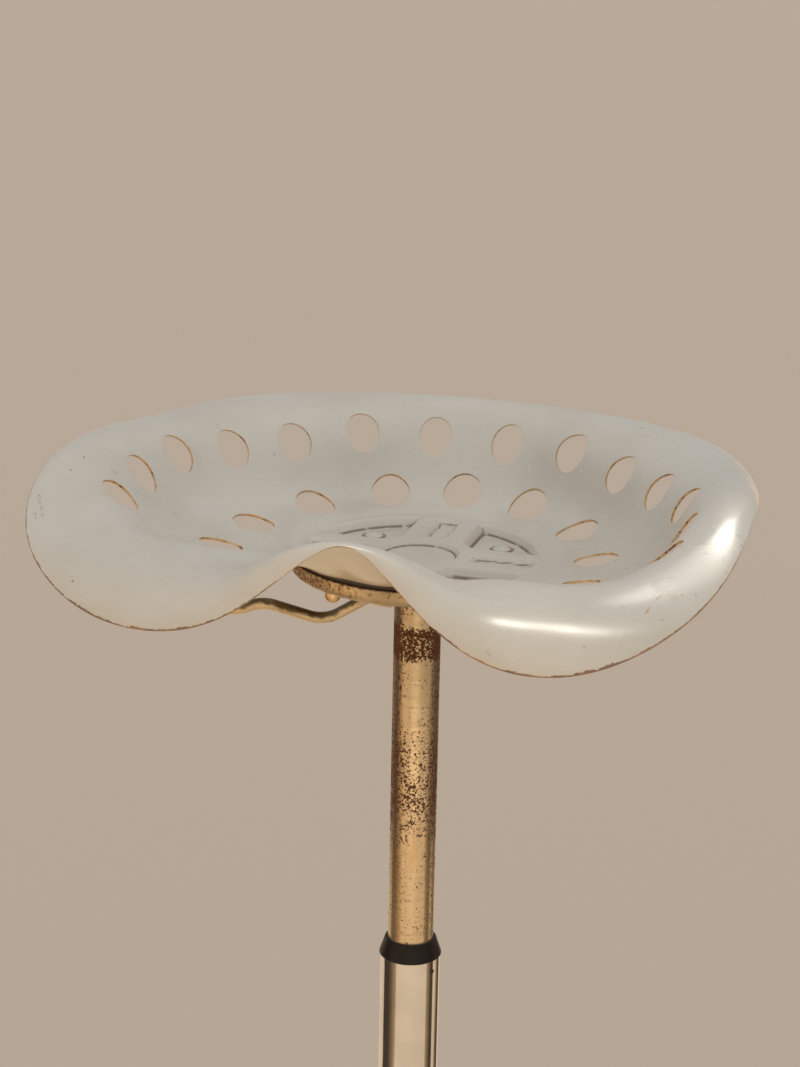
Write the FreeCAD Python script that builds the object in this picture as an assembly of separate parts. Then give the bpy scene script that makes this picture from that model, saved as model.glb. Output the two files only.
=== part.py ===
import FreeCAD, Part
import math
import os
from FreeCAD import Vector

# Height adjustable stool with a pressed steel tractor seat.
# Origin: on the floor under the column. +Z is up, the front edge of the seat faces -Y,
# and the release lever points to -X, the sitter's right hand. Sizes are in millimetres.

# Seat pan: one pressed steel sheet
seat_height = 750.0         # floor to the flat middle of the seat, column fully out
sheet = 1.5                 # thickness of the seat sheet
well_radius = 73.0          # round flat middle with the pressed ribs
step_run = 3.5              # short slope round the flat middle
step_rise = 2.5
# Sections of the seat from the front centre round to the back centre. Each one has its
# angle from the front, the reach and height of the rim's crest, the reach and height of
# the cut edge, and how far the curve runs level at its foot and at its crest.
# Heights are above the flat middle.
seat_sections = [
    (0.0, 145.0, 49.0, 148.0, 48.0, 12.0, 16.0),
    (13.0, 150.0, 41.0, 160.0, 25.5, 6.0, 40.0),
    (26.0, 152.0, 24.5, 180.0, -2.5, 9.0, 60.0),
    (39.0, 165.0, 25.0, 213.0, -3.0, 9.0, 66.0),
    (54.0, 191.0, 33.5, 232.0, 25.0, 48.0, 28.0),
    (72.0, 204.0, 57.0, 215.0, 54.5, 99.0, 45.0),
    (95.0, 186.0, 58.5, 196.0, 51.0, 92.0, 56.0),
    (122.0, 179.0, 56.0, 189.0, 48.0, 70.0, 80.0),
    (150.0, 158.0, 56.5, 168.0, 48.5, 57.0, 68.0),
    (180.0, 142.0, 58.0, 152.0, 50.0, 34.0, 30.0),
]

# Vent holes: oval, long way up the wall, in mirrored pairs
outer_holes = [(23.0, 113.5), (66.5, 99.5), (102.5, 74.5), (132.0, 44.0),
               (154.0, 8.0), (161.5, -31.0), (159.5, -70.0)]
outer_hole_width = 20.8
outer_hole_length = 26.0
inner_holes = [(0.0, 95.5), (44.0, 87.5), (82.5, 54.5), (105.0, 6.0), (107.0, -46.0)]
inner_hole_width = 24.0
inner_hole_length = 26.0

# Pressed pattern in the flat middle
panel_depth = 6.0           # bolt panels and slots are sunk this far
panel_border = 1.5          # flat left outside the bolt panels
rib_outer = 18.5            # a pair of ribs runs between these distances from the middle
rib_inner = 7.5
hub_ring_radius = 32.0      # the ribs start from this ring
slot_border = 3.5
recess_radius = 24.0        # round recess in the centre
recess_depth = 3.0
press_draft = 2.0           # how much each pressed pocket narrows to its floor

# Seat bolts
bolt_spacing = 80.0         # square
bolt_size = 6.0
bolt_head_width = 12.5
bolt_head_height = 2.2
bolt_clearance = 0.4
washer_width = 12.0
washer_thickness = 1.6
cap_nut_flats = 10.0
cap_nut_height = 12.0
cap_nut_hex_height = 5.0
cap_nut_dome = 9.5
bolt_thread_in_nut = 8.0

# Mounting dish under the seat
dish_clear = 1.0            # round the panels' undersides
dish_sheet = 2.0
dish_height = 9.0
dish_corner = 3.5
dish_rim_bevel = 1.0        # inside the rim, under the pan
dish_bore = 20.0

# Seat post and the gas spring inside it
post_diameter = 28.0
post_wall = 1.5
post_shown = 237.5          # from the dish down to the black collar, column fully out
post_overlap = 75.0         # still inside the column when fully out
stroke = 205.0
spring_clear = 1.5          # inside the post
spring_wall = 1.5
valve_plug_top = 32.0       # below the dish
valve_plug_height = 20.0
valve_spigot = 12.0
pin_diameter = 5.0
pin_length = 28.0
pin_gap = 0.1               # lever to valve pin, lever at rest
rod_diameter = 10.0
rod_guide_height = 12.0
rod_seal_height = 5.0
piston_height = 14.0
piston_rest_gap = 8.0       # piston above the rod seal, column fully out
seal_groove = 3.0
end_ring_height = 10.0
end_ring_lip = 4.0
running_gap = 0.05          # radial, every sliding or turning fit

# Release lever
rod_width = 7.0             # bent round bar
pivot_beyond_post = 6.0
pivot_drop = 19.5           # pivot below the dish
# The bar's corners from the pivot outwards, each as its reach from the axis and its
# height from the pivot, the last one where the grip starts, and the radius of each bend
lever_route = [(27.0, 0.0), (57.5, -20.3), (97.0, -12.8), (113.0, -20.0), (130.0, -20.0)]
lever_bends = [12.0, 26.0, 25.0, 36.0]
lever_tip = 5.0             # beyond the axis, over the valve pin
grip_diameter = 12.0
grip_length = 42.0
grip_on_rod = 34.0
pivot_pin_diameter = 4.0
pivot_pin_stands_out = 1.0
bracket_sheet = 2.0
bracket_side_gap = 0.7
bracket_beyond_post = 0.5
bracket_length = 11.5
bracket_below_pivot = 5.0
slot_side_gap = 0.8
slot_above = 1.7            # room for the bar above and below it in the slot
slot_below = 2.7

# Column
column_diameter = 36.5
column_wall = 1.75
collar_height = 11.5
collar_overhang = 0.75      # beyond the lower tube
collar_top_wall = 1.5       # round the post
collar_lip = 1.5
bush_length = 60.0
bush_pin_size = 3.0
bush_pin_drop = 6.5
bush_pin_head = 0.5
bush_pin_bite = 1.5         # into the bush
bush_pin_angle = 63.0       # from the front towards +X
bush_pin_count = 2

# Turning seat of the piston rod, at the foot of the column
rod_block_height = 12.0
rod_neck = 8.0
race_clear = 2.5            # inside the column
race_thickness = 1.2
ball_size = 3.2
ball_count = 10
ball_inset = 4.5            # from the races' edge
clip_width = 14.0
clip_thickness = 1.0
clip_pocket_depth = 4.0
clip_pocket_width = 17.0

# Base
base_radius = 188.0
base_weight_height = 12.0
foot_ring_height = 5.0
foot_ring_overhang = 5.0    # beyond the weight
foot_ring_width = 25.0
foot_ring_lip = 3.0
shell_sheet = 1.5
shell_gap = 0.4
neck_clear = 2.75           # between the column and the inside of the neck
neck_top = 96.0
shell_rim_top = 28.0        # where rim and cone would meet
shell_cone_top = 58.0       # where cone and neck would meet
shell_rim_bend = 9.0
shell_neck_bend = 42.0
neck_ring_height = 8.0
neck_ring_lip = 1.5
flange_overhang = 26.75     # beyond the column
flange_thickness = 5.0
flange_bolt_inset = 12.0
flange_bolt_size = 8.0
flange_bolt_flats = 13.0
flange_bolt_head = 5.3
flange_bolt_count = 4

# Footrest
footrest_height = 285.0
footrest_radius = 122.0
footrest_tube = 19.0
footrest_wall = 1.5
sleeve_wall = 5.0
sleeve_height = 42.0
grub_size = 6.0
grub_spacing = 22.0

# Heights worked out from the seat downwards
panel_floor = seat_height - panel_depth
dish_floor = panel_floor - sheet
dish_under = dish_floor - dish_sheet
collar_top = dish_under - post_shown
column_top = collar_top - collar_height
post_bottom = column_top - post_overlap
pivot_height = dish_under - pivot_drop
post_radius = post_diameter / 2
post_bore = post_radius - post_wall
column_radius = column_diameter / 2
column_bore = column_radius - column_wall
spring_radius = post_bore - spring_clear
spring_bore = spring_radius - spring_wall
weight_bottom = foot_ring_height
weight_top = weight_bottom + base_weight_height
flange_top = weight_top + flange_thickness
rod_block_top = flange_top + rod_block_height
lower_race_top = rod_block_top + race_thickness
upper_race_bottom = lower_race_top + ball_size + 2 * running_gap
rod_shoulder = upper_race_bottom + race_thickness
foot_of_post = post_bottom + end_ring_lip
seal_top = foot_of_post + rod_guide_height + rod_seal_height
piston_bottom = seal_top + piston_rest_gap
panel_reach = well_radius - panel_border
slot_reach = well_radius - slot_border
dish_radius = panel_reach + sheet + dish_clear + dish_sheet
pivot_reach = post_radius + pivot_beyond_post
collar_radius = column_radius + collar_overhang
race_radius = column_bore - race_clear
neck_radius = column_radius + neck_clear + shell_sheet
flange_radius = column_radius + flange_overhang
flange_bolt_reach = flange_radius - flange_bolt_inset
foot_ring_outer = base_radius + foot_ring_overhang
foot_ring_inner = foot_ring_outer - foot_ring_width
bolt_places = [(x * bolt_spacing / 2, y * bolt_spacing / 2) for x in (-1, 1) for y in (-1, 1)]

os.makedirs("parts", exist_ok=True)


def keep(name, shape):
    """Writes one sub-part and says what it is made of."""
    shape.exportStep("parts/" + name + ".step")
    print(name, len(shape.Solids), "solids", round(shape.Volume, 1), "mm3", shape.isValid())


def rod(radius, low, high, x=0.0, y=0.0):
    return Part.makeCylinder(radius, high - low, Vector(x, y, low))


def tube(outer, inner, low, high):
    return rod(outer, low, high).cut(rod(inner, low - 1, high + 1))


def turned(points):
    """Turns a closed outline of (radius, height) points round the column's axis."""
    corners = [Vector(r, 0, z) for r, z in points]
    outline = Part.makePolygon(corners + corners[:1])
    return Part.Face(outline).revolve(Vector(0, 0, 0), Vector(0, 0, 1), 360)


def hexagon(flats, low, high, x, y):
    reach = flats / math.sqrt(3)
    corners = [Vector(x + reach * math.cos(math.radians(60 * i)),
                      y + reach * math.sin(math.radians(60 * i)), low) for i in range(7)]
    return Part.Face(Part.makePolygon(corners)).extrude(Vector(0, 0, high - low))


# Seat pan
def through(values):
    """A smooth closed curve through values given at the section angles, front to back."""
    angles = [row[0] for row in seat_sections]
    places = list(range(len(angles))) + list(range(len(angles) - 2, 0, -1))
    knots = angles + [360 - a for a in angles[-2::-1]]
    curve = Part.BSplineCurve()
    curve.interpolate(Points=[values[i] for i in places], Parameters=knots, PeriodicFlag=True)
    return curve


crest_curve = through([Vector(row[1], row[2], 0) for row in seat_sections])
edge_curve = through([Vector(row[3], row[4], 0) for row in seat_sections])
run_curve = through([Vector(row[5], row[6], 0) for row in seat_sections])
wall_start = well_radius + step_run
wall_steps = 9
rim_steps = 4


def bezier(a, b, c, d, t):
    s = 1 - t
    return s ** 3 * a + 3 * s * s * t * b + 3 * s * t * t * c + t ** 3 * d


def section_point(angle, place):
    """Reach and height on one section: 0 to 1 climbs the wall, 1 to 2 rolls over the rim."""
    crest = crest_curve.value(angle)
    edge = edge_curve.value(angle)
    runs = run_curve.value(angle)
    if place <= 1:
        reach = bezier(wall_start, wall_start + runs.x, crest.x - runs.y, crest.x, place)
        height = bezier(step_rise, step_rise, crest.y, crest.y, place)
    else:
        width = edge.x - crest.x
        drop = crest.y - edge.y
        reach = bezier(crest.x, crest.x + 0.5 * width, edge.x - 0.1 * width, edge.x, place - 1)
        height = bezier(crest.y, crest.y, edge.y + 0.45 * drop, edge.y, place - 1)
    return reach, height


def seat_point(angle, place):
    reach, height = section_point(angle % 360, place)
    turn = math.radians(angle)
    return Vector(reach * math.sin(turn), -reach * math.cos(turn), seat_height + height)


def seat_normal(angle, place):
    """Upward normal of the sheet, from two short steps along it."""
    up = seat_point(angle, min(place + 0.01, 2)) - seat_point(angle, max(place - 0.01, 0))
    along = seat_point(angle + 0.5, place) - seat_point(angle - 0.5, place)
    return along.cross(up).normalize() * -1


ring_angles = [6.0 * i for i in range(60)]


def closed_ring(points):
    curve = Part.BSplineCurve()
    curve.interpolate(Points=points, Parameters=ring_angles + [360.0], PeriodicFlag=True)
    return Part.Wire(curve.toShape())


def level_ring(radius, height):
    turns = [math.radians(a) for a in ring_angles]
    return closed_ring([Vector(radius * math.sin(t), -radius * math.cos(t), height) for t in turns])


def pan_sheet():
    places = [i / wall_steps for i in range(wall_steps + 1)]
    places += [1 + i / rim_steps for i in range(1, rim_steps + 1)]
    top = [level_ring(well_radius, seat_height)]
    half_slope = math.atan2(step_rise, step_run) / 2
    under = [level_ring(well_radius + sheet * math.tan(half_slope), seat_height - sheet)]
    for place in places:
        points = [seat_point(a, place) for a in ring_angles]
        shifts = [seat_normal(a, place) * -sheet for a in ring_angles]
        top.append(closed_ring(points))
        under.append(closed_ring([p + s for p, s in zip(points, shifts)]))
    faces = [Part.makeLoft(top, False, False).Faces[0],
             Part.makeLoft(under, False, False).Faces[0],
             Part.makeLoft([top[-1], under[-1]], False, True).Faces[0],
             Part.Face(top[0]),
             Part.Face(under[0])]
    skin = Part.makeCompound(faces)
    skin.sewShape(0.01)
    solid = Part.makeSolid(skin.Shells[0])
    if solid.Volume < 0:
        solid.reverse()
    return solid


def panel_outline(shrink, height):
    """Outline of a bolt panel between two ribs, in the +X +Y quarter."""
    near = rib_outer + shrink
    outer = panel_reach - shrink
    inner = hub_ring_radius + shrink
    far = math.sqrt(outer ** 2 - near ** 2)
    close = math.sqrt(inner ** 2 - near ** 2)
    slant = math.sqrt(0.5)
    a = Vector(close, near, height)
    b = Vector(far, near, height)
    c = Vector(near, far, height)
    d = Vector(near, close, height)
    out_mid = Vector(outer * slant, outer * slant, height)
    in_mid = Vector(inner * slant, inner * slant, height)
    return Part.Wire([Part.LineSegment(a, b).toShape(),
                      Part.Arc(b, out_mid, c).toShape(),
                      Part.LineSegment(c, d).toShape(),
                      Part.Arc(d, in_mid, a).toShape()])


def slot_outline(shrink, height):
    """Outline of the slot between two ribs on the +X side."""
    near = hub_ring_radius + shrink
    far = slot_reach - shrink
    half = rib_inner - shrink
    corners = [(near, -half), (far, -half), (far, half), (near, half)]
    points = [Vector(x, y, height) for x, y in corners]
    return Part.makePolygon(points + points[:1])


def pocket(outline, low, high, grow):
    """A pressed pocket or its underside: it narrows by the draft from high to low."""
    return Part.makeLoft([outline(press_draft - grow, low), outline(-grow, high)], True, True)


def quarter_turns(shape):
    axis = Vector(0, 0, 1)
    return [shape.copy().rotate(Vector(0, 0, 0), axis, 90 * i) for i in range(4)]


def oval_cutter(x, y, width, length):
    """An oval bar square to the wall at one vent hole, its long way up the wall."""
    angle = math.degrees(math.atan2(x, -y))
    reach = math.hypot(x, y)
    low, high = 0.0, 1.0
    for step in range(30):
        middle = (low + high) / 2
        if section_point(angle % 360, middle)[0] < reach:
            low = middle
        else:
            high = middle
    centre = seat_point(angle, low)
    normal = seat_normal(angle, low)
    up = (seat_point(angle, low + 0.01) - seat_point(angle, low - 0.01)).normalize()
    across = normal.cross(up).normalize()
    oval = Part.Ellipse(Vector(0, 0, 0), length / 2, width / 2).toShape()
    bar = Part.Face(Part.Wire(oval)).extrude(Vector(0, 0, 24))
    bar.translate(Vector(0, 0, -12))
    place = FreeCAD.Matrix(up.x, across.x, normal.x, centre.x,
                           up.y, across.y, normal.y, centre.y,
                           up.z, across.z, normal.z, centre.z,
                           0, 0, 0, 1)
    return bar.transformGeometry(place)


def seat_pan():
    pan = pan_sheet()
    under = seat_height - sheet
    bosses = quarter_turns(pocket(panel_outline, dish_floor, under, sheet))
    bosses += quarter_turns(pocket(slot_outline, dish_floor, under, sheet))
    recess_floor = seat_height - recess_depth
    recess_low = recess_radius - press_draft
    bosses.append(Part.makeCone(recess_low + sheet, recess_radius + sheet,
                                recess_depth, Vector(0, 0, recess_floor - sheet)))
    pan = pan.fuse(bosses)
    cuts = quarter_turns(pocket(panel_outline, panel_floor, seat_height, 0))
    cuts += quarter_turns(pocket(slot_outline, panel_floor, seat_height, 0))
    cuts.append(Part.makeCone(recess_low, recess_radius, recess_depth, Vector(0, 0, recess_floor)))
    for x, y in bolt_places:
        cuts.append(rod((bolt_size + bolt_clearance) / 2, dish_floor - 1, seat_height, x, y))
    rows = [(outer_holes, outer_hole_width, outer_hole_length),
            (inner_holes, inner_hole_width, inner_hole_length)]
    for places, width, length in rows:
        for x, y in places:
            for side in ([1, -1] if x > 0 else [1]):
                cuts.append(oval_cutter(side * x, y, width, length))
    return pan.cut(cuts)


# Fasteners that hold the seat on the dish
def seat_bolt(x, y):
    half = bolt_head_width / 2
    dome_radius = (half ** 2 + bolt_head_height ** 2) / (2 * bolt_head_height)
    dome = Part.makeSphere(dome_radius, Vector(x, y, panel_floor + bolt_head_height - dome_radius))
    head = rod(half, panel_floor, panel_floor + bolt_head_height, x, y).common(dome)
    tip = dish_under - washer_thickness - bolt_thread_in_nut
    return head.fuse(rod(bolt_size / 2, tip, panel_floor, x, y)).removeSplitter()


def seat_washer(x, y):
    low = dish_under - washer_thickness
    disc = rod(washer_width / 2, low, dish_under, x, y)
    return disc.cut(rod((bolt_size + bolt_clearance) / 2, low - 1, dish_under + 1, x, y))


def cap_nut(x, y):
    top = dish_under - washer_thickness
    hex_low = top - cap_nut_hex_height
    dome_centre = top - cap_nut_height + cap_nut_dome / 2
    body = hexagon(cap_nut_flats, hex_low, top, x, y)
    body = body.fuse(rod(cap_nut_dome / 2, dome_centre, hex_low, x, y))
    body = body.fuse(Part.makeSphere(cap_nut_dome / 2, Vector(x, y, dome_centre)))
    return body.cut(rod(bolt_size / 2, top - bolt_thread_in_nut, top + 1, x, y))


def mount_dish():
    bottom = rod(dish_radius, dish_under, dish_under + dish_height)
    rim = [edge for edge in bottom.Edges
           if abs(edge.BoundBox.ZMax - dish_under) < 0.01 and edge.BoundBox.XLength > dish_radius]
    outside = bottom.makeFillet(dish_corner, rim)
    rim_top = dish_under + dish_height
    bore = dish_radius - dish_sheet
    inside = rod(bore, dish_floor, rim_top)
    bevel = Part.makeCone(bore, bore + dish_rim_bevel, dish_rim_bevel, Vector(0, 0, rim_top - dish_rim_bevel))
    dish = outside.cut([inside, bevel, rod(dish_bore / 2, dish_under, dish_floor)])
    for x, y in bolt_places:
        dish = dish.cut(rod((bolt_size + bolt_clearance) / 2, dish_under - 1, dish_floor + 1, x, y))
    return dish


# Seat post, gas spring and valve
def seat_post():
    post = tube(post_radius, post_bore, post_bottom, dish_under)
    half = rod_width / 2 + slot_side_gap
    height = rod_width + slot_above + slot_below
    low = pivot_height - rod_width / 2 - slot_below
    return post.cut(Part.makeBox(post_radius, 2 * half, height, Vector(-post_radius, -half, low)))


plug_top = dish_under - valve_plug_top
plug_bottom = plug_top - valve_plug_height
pin_top = pivot_height - rod_width / 2 - pin_gap
valve_bore = pin_diameter / 2 + running_gap


def valve_plug():
    body = rod(post_bore, plug_bottom, plug_top)
    body = body.fuse(rod(spring_bore, plug_bottom - valve_spigot, plug_bottom))
    return body.cut(rod(valve_bore, plug_bottom - valve_spigot - 1, plug_top + 1)).removeSplitter()


def end_ring():
    ring = tube(post_bore, spring_radius, foot_of_post, post_bottom + end_ring_height)
    lip = tube(post_bore, rod_diameter / 2 + 1, post_bottom, foot_of_post)
    return ring.fuse(lip).removeSplitter()


rod_hole = rod_diameter / 2 + running_gap
piston_radius = spring_bore - running_gap
groove_low = piston_bottom + (piston_height - seal_groove) / 2
groove_bottom = piston_radius - seal_groove


def piston():
    body = rod(piston_radius, piston_bottom, piston_bottom + piston_height)
    groove = tube(piston_radius + 1, groove_bottom, groove_low, groove_low + seal_groove)
    return body.cut(groove).cut(rod(rod_neck / 2, piston_bottom - 1, piston_bottom + piston_height + 1))


def piston_rod():
    bar = rod(rod_diameter / 2, rod_shoulder, piston_bottom)
    top = rod(rod_neck / 2, piston_bottom, piston_bottom + piston_height)
    foot = rod(rod_neck / 2, flange_top + 1, rod_shoulder)
    return bar.fuse([top, foot]).removeSplitter()


# Lever
def bent_path(points, bends):
    """Straight runs joined by tangent arcs, in the upright plane through the axis."""
    edges = []
    start = points[0]
    for i, radius in enumerate(bends):
        before = (start - points[i + 1]).normalize()
        after = (points[i + 2] - points[i + 1]).normalize()
        half = before.getAngle(after) / 2
        cut = radius / math.tan(half)
        enter = points[i + 1] + before * cut
        leave = points[i + 1] + after * cut
        inward = (before + after).normalize()
        middle = points[i + 1] + inward * (radius / math.sin(half) - radius)
        edges.append(Part.LineSegment(start, enter).toShape())
        edges.append(Part.Arc(enter, middle, leave).toShape())
        start = leave
    edges.append(Part.LineSegment(start, points[-1]).toShape())
    return Part.Wire(edges)


lever_points = [Vector(lever_tip, 0, pivot_height)]
lever_points += [Vector(-reach, 0, pivot_height + drop) for reach, drop in lever_route]
grip_start = lever_points[-1]
lever_points.append(grip_start - Vector(grip_on_rod, 0, 0))


def lever_rod():
    path = bent_path(lever_points, lever_bends)
    circle = Part.makeCircle(rod_width / 2, lever_points[0], Vector(-1, 0, 0))
    bar = path.makePipeShell([Part.Wire(circle)], True, False)
    hole = Part.makeCylinder(pivot_pin_diameter / 2 + running_gap, 2 * rod_width,
                             Vector(-pivot_reach, -rod_width, pivot_height), Vector(0, 1, 0))
    return bar.cut(hole)


def lever_grip():
    radius = grip_diameter / 2
    start = grip_start
    body = Part.makeCylinder(radius, grip_length - radius, start, Vector(-1, 0, 0))
    end = start - Vector(grip_length - radius, 0, 0)
    body = body.fuse(Part.makeSphere(radius, end)).removeSplitter()
    return body.cut(Part.makeCylinder(rod_width / 2, grip_on_rod, start, Vector(-1, 0, 0)))


ear_inside = rod_width / 2 + bracket_side_gap
ear_outside = ear_inside + bracket_sheet


def lever_pin():
    half = ear_outside + pivot_pin_stands_out
    return Part.makeCylinder(pivot_pin_diameter / 2, 2 * half,
                             Vector(-pivot_reach, -half, pivot_height), Vector(0, 1, 0))


def lever_bracket():
    low = pivot_height - bracket_below_pivot
    far = -(post_radius + bracket_beyond_post + bracket_length)
    block = Part.makeBox(bracket_length, 2 * ear_outside, dish_under - low, Vector(far, -ear_outside, low))
    gap = Part.makeBox(bracket_length, 2 * ear_inside, dish_under - bracket_sheet - low,
                       Vector(far, -ear_inside, low))
    return block.cut(gap).cut(lever_pin())


# Column
def guide_bush():
    bore = post_radius + running_gap
    top_radius = post_radius + collar_top_wall
    half_lip = collar_lip / 2
    outline = [(bore, column_top - bush_length), (column_bore, column_top - bush_length),
               (column_bore, column_top), (collar_radius - half_lip, column_top),
               (collar_radius, column_top + half_lip), (collar_radius, column_top + collar_lip),
               (top_radius + half_lip / 2, collar_top - half_lip), (top_radius, collar_top),
               (bore, collar_top)]
    return turned(outline)


def bush_pin(index):
    """A small rivet through the column wall into the bush."""
    turn = math.radians(bush_pin_angle + 360 / bush_pin_count * index)
    out = Vector(math.sin(turn), -math.cos(turn), 0)
    start = out * (column_bore - bush_pin_bite) + Vector(0, 0, column_top - bush_pin_drop)
    length = bush_pin_bite + column_wall + bush_pin_head
    return Part.makeCylinder(bush_pin_size / 2, length, start, out)


bush_pins = [bush_pin(i) for i in range(bush_pin_count)]


def rod_block():
    block = rod(column_bore, flange_top, rod_block_top)
    block = block.cut(rod(clip_pocket_width / 2, flange_top - 1, flange_top + clip_pocket_depth))
    return block.cut(rod(rod_neck / 2 + running_gap, flange_top, rod_block_top + 1))


def thrust_balls():
    balls = []
    height = lower_race_top + running_gap + ball_size / 2
    for i in range(ball_count):
        turn = 2 * math.pi * i / ball_count
        reach = race_radius - ball_inset
        centre = Vector(reach * math.cos(turn), reach * math.sin(turn), height)
        balls.append(Part.makeSphere(ball_size / 2, centre))
    return Part.makeCompound(balls)


clip_top = flange_top + clip_pocket_depth - 0.3


# Base
def base_weight():
    disc = rod(base_radius, weight_bottom, weight_top)
    for x, y in flange_bolt_places:
        disc = disc.cut(rod(flange_bolt_size / 2, weight_bottom - 1, weight_top + 1, x, y))
    return disc


flange_bolt_turns = [2 * math.pi * (i + 0.5) / flange_bolt_count for i in range(flange_bolt_count)]
flange_bolt_places = [(flange_bolt_reach * math.cos(turn), flange_bolt_reach * math.sin(turn))
                      for turn in flange_bolt_turns]


def column_flange():
    disc = rod(flange_radius, weight_top, flange_top)
    for x, y in flange_bolt_places:
        disc = disc.cut(rod(flange_bolt_size / 2, weight_top - 1, flange_top + 1, x, y))
    return disc


def flange_bolt(x, y):
    shank = rod(flange_bolt_size / 2, weight_bottom, flange_top, x, y)
    head = hexagon(flange_bolt_flats, flange_top, flange_top + flange_bolt_head, x, y)
    return shank.fuse(head).removeSplitter()


def foot_ring():
    lip_top = weight_bottom + foot_ring_lip
    outline = [(foot_ring_inner, 0), (foot_ring_outer - 1, 0), (foot_ring_outer, 1),
               (foot_ring_outer, lip_top), (base_radius, lip_top),
               (base_radius, weight_bottom), (foot_ring_inner, weight_bottom)]
    return turned(outline)


def moved_sideways(points, depth):
    """The same bent line, moved to its left by the depth, with its corners mitred."""
    last = len(points) - 1
    moved = []
    for i, point in enumerate(points):
        ahead = (points[min(i + 1, last)] - points[min(i, last - 1)]).normalize()
        behind = (points[max(i, 1)] - points[max(i - 1, 0)]).normalize()
        side = (ahead + behind).normalize().cross(Vector(0, 1, 0))
        moved.append(point + side * (depth / side.dot(ahead.cross(Vector(0, 1, 0)))))
    return moved


def base_shell():
    """A spun trumpet: upright rim, low cone and a neck that stands round the column."""
    rim = base_radius + shell_gap + shell_sheet
    corners = [Vector(rim, 0, weight_bottom + foot_ring_lip), Vector(rim, 0, shell_rim_top),
               Vector(neck_radius, 0, shell_cone_top), Vector(neck_radius, 0, neck_top)]
    inside = moved_sideways(corners, shell_sheet)
    outer = bent_path(corners, [shell_rim_bend, shell_neck_bend])
    inner = bent_path(inside, [shell_rim_bend - shell_sheet, shell_neck_bend + shell_sheet])
    ends = [Part.LineSegment(corners[i], inside[i]).toShape() for i in (0, 3)]
    band = Part.Wire(Part.__sortEdges__(outer.Edges + inner.Edges + ends))
    return Part.Face(band).revolve(Vector(0, 0, 0), Vector(0, 0, 1), 360)


def neck_ring():
    outer = neck_radius - shell_sheet
    outline = [(column_radius, neck_top - neck_ring_height), (outer, neck_top - neck_ring_height),
               (outer, neck_top), (neck_radius, neck_top), (neck_radius, neck_top + neck_ring_lip - 0.5),
               (neck_radius - 0.5, neck_top + neck_ring_lip), (column_radius, neck_top + neck_ring_lip)]
    return turned(outline)


# Footrest
sleeve_radius = column_radius + sleeve_wall


def footrest_sleeve():
    low = footrest_height - sleeve_height / 2
    sleeve = tube(sleeve_radius, column_radius, low, low + sleeve_height)
    for height in grub_heights:
        hole = Part.makeCylinder(grub_size / 2, sleeve_radius + 1, Vector(0, 0, height), Vector(0, 1, 0))
        sleeve = sleeve.cut(hole)
    return sleeve


grub_heights = [footrest_height - grub_spacing / 2, footrest_height + grub_spacing / 2]


def footrest_screws():
    screws = []
    for height in grub_heights:
        start = Vector(0, column_radius, height)
        screw = Part.makeCylinder(grub_size / 2, sleeve_wall - 0.5, start, Vector(0, 1, 0))
        screws.append(screw)
    return Part.makeCompound(screws)


def footrest_ring():
    centre = Vector(0, -footrest_radius, footrest_height)
    outer = Part.makeTorus(footrest_radius, footrest_tube / 2, centre)
    inner = Part.makeTorus(footrest_radius, footrest_tube / 2 - footrest_wall, centre)
    near_column = rod(sleeve_radius, footrest_height - footrest_tube, footrest_height + footrest_tube)
    return outer.cut(inner).cut(near_column)


keep("seat_pan", seat_pan())
keep("seat_bolts", Part.makeCompound([seat_bolt(x, y) for x, y in bolt_places]))
keep("seat_washers", Part.makeCompound([seat_washer(x, y) for x, y in bolt_places]))
keep("seat_nuts", Part.makeCompound([cap_nut(x, y) for x, y in bolt_places]))
keep("mount_dish", mount_dish())
keep("seat_post", seat_post())
keep("valve_plug", valve_plug())
keep("valve_pin", rod(pin_diameter / 2, pin_top - pin_length, pin_top))
keep("spring_cylinder", tube(spring_radius, spring_bore, foot_of_post, plug_bottom))
keep("rod_guide", tube(spring_bore, rod_hole, foot_of_post, foot_of_post + rod_guide_height))
keep("rod_seal", tube(spring_bore, rod_hole, foot_of_post + rod_guide_height, seal_top))
keep("post_end_ring", end_ring())
keep("piston", piston())
keep("piston_seal", tube(piston_radius, groove_bottom, groove_low, groove_low + seal_groove))
keep("piston_rod", piston_rod())
keep("upper_race", tube(race_radius, rod_neck / 2, upper_race_bottom, rod_shoulder))
keep("thrust_balls", thrust_balls())
keep("lower_race", tube(race_radius, rod_neck / 2 + 1, rod_block_top, lower_race_top))
keep("rod_clip", tube(clip_width / 2, rod_neck / 2, clip_top - clip_thickness, clip_top))
keep("rod_block", rod_block())
keep("lever_rod", lever_rod())
keep("lever_grip", lever_grip())
keep("lever_bracket", lever_bracket())
keep("lever_pin", lever_pin())
keep("guide_bush", guide_bush().cut(bush_pins))
keep("bush_rivets", Part.makeCompound(bush_pins))
keep("column_tube", tube(column_radius, column_bore, flange_top, column_top).cut(bush_pins))
keep("column_flange", column_flange())
keep("flange_bolts", Part.makeCompound([flange_bolt(x, y) for x, y in flange_bolt_places]))
keep("base_weight", base_weight())
keep("base_shell", base_shell())
keep("foot_ring", foot_ring())
keep("neck_ring", neck_ring())
keep("footrest_sleeve", footrest_sleeve())
keep("footrest_screws", footrest_screws())
keep("footrest_ring", footrest_ring())
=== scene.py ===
import bpy
import bmesh
import math
import numpy as np
from mathutils import Euler, Matrix, Vector


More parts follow.
